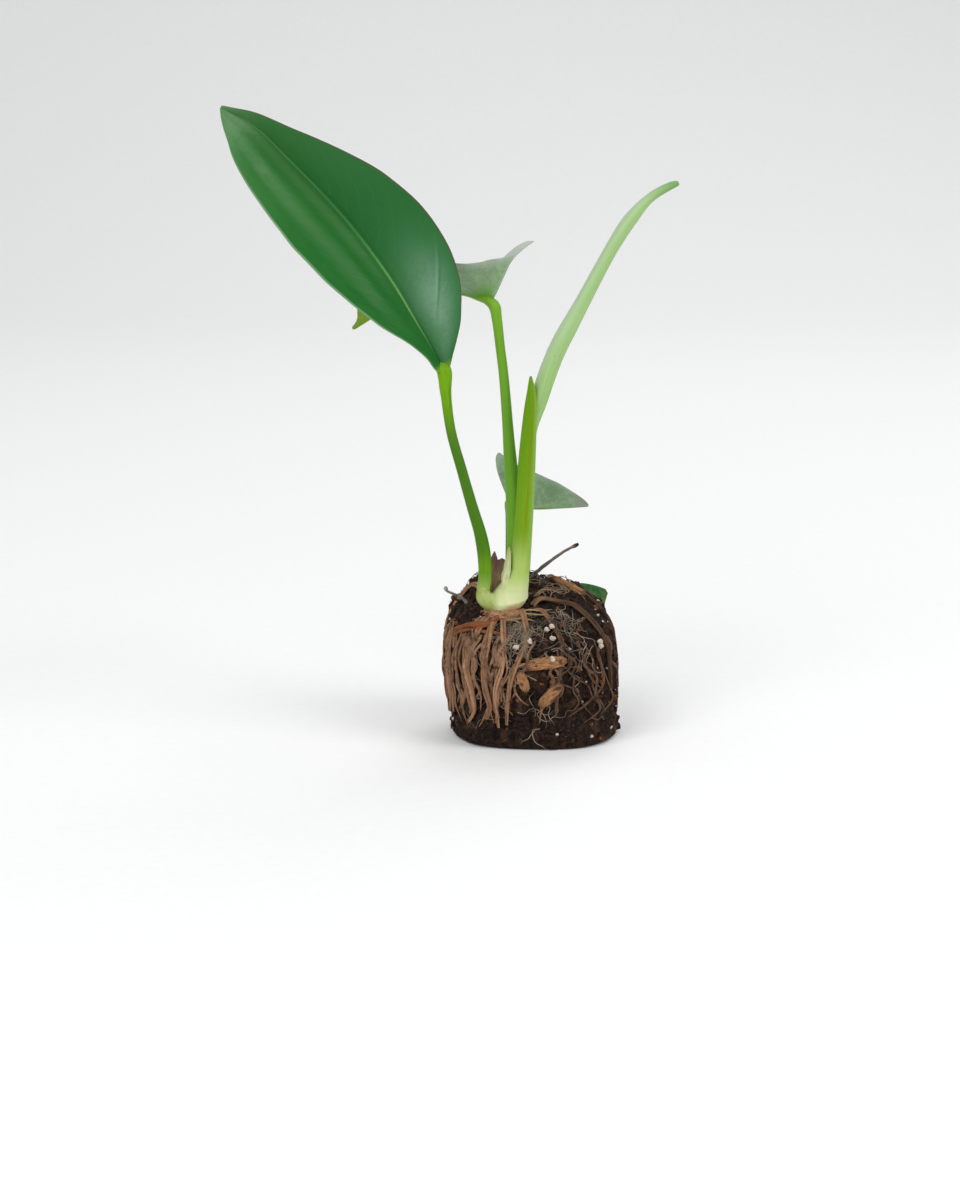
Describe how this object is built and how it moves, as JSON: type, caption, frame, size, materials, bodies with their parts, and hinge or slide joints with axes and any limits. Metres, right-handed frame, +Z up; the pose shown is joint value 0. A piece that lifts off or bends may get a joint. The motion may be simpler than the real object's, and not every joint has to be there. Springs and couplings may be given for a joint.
{
  "type": "young dragon tail philodendron with its soil plug",
  "caption": "Young dragon tail plant out of its pot: glossy leaves on stalks and one still rolled, on a pale crown over a bare, rooted plug of potting soil.",
  "frame": {"origin": "middle of the soil plug's flat underside", "axes": "+Z up along the shoot, -Y towards the front from which the crown and the root bundle show, +X to the right of that view"},
  "size_m": [0.132, 0.0811, 0.1828],
  "materials": {
    "leaf_green": "glossy deep green blade with a paler midrib",
    "leaf_underside": "matt grey-green underside of a blade",
    "stalk_green": "satin bright green stalk",
    "roll_green": "satin pale green rolled leaf",
    "crown_cream": "smooth cream-green crown and scale",
    "soil": "moist crumbly potting soil with perlite",
    "root_brown": "brown fibrous root",
    "bark": "rough tan bark and dry twig"
  },
  "bodies": {
    "root": {"soil_plug": "soil", "roots": "root_brown", "crown": "crown_cream", "petiole_1": "stalk_green", "leaf_1": "leaf_green", "petiole_2": "stalk_green", "leaf_2": "leaf_underside", "petiole_3": "stalk_green", "leaf_3": "leaf_underside", "petiole_4": "stalk_green", "leaf_4": "leaf_green", "sheath": "stalk_green", "new_leaf": "roll_green", "cataphyll_1": "crown_cream", "cataphyll_2": "root_brown", "twig": "bark", "loose_root": "root_brown", "bark_chip_1": "bark", "bark_chip_2": "bark", "bark_chip_3": "bark", "bark_chip_4": "bark"}
  },
  "joints": []
}
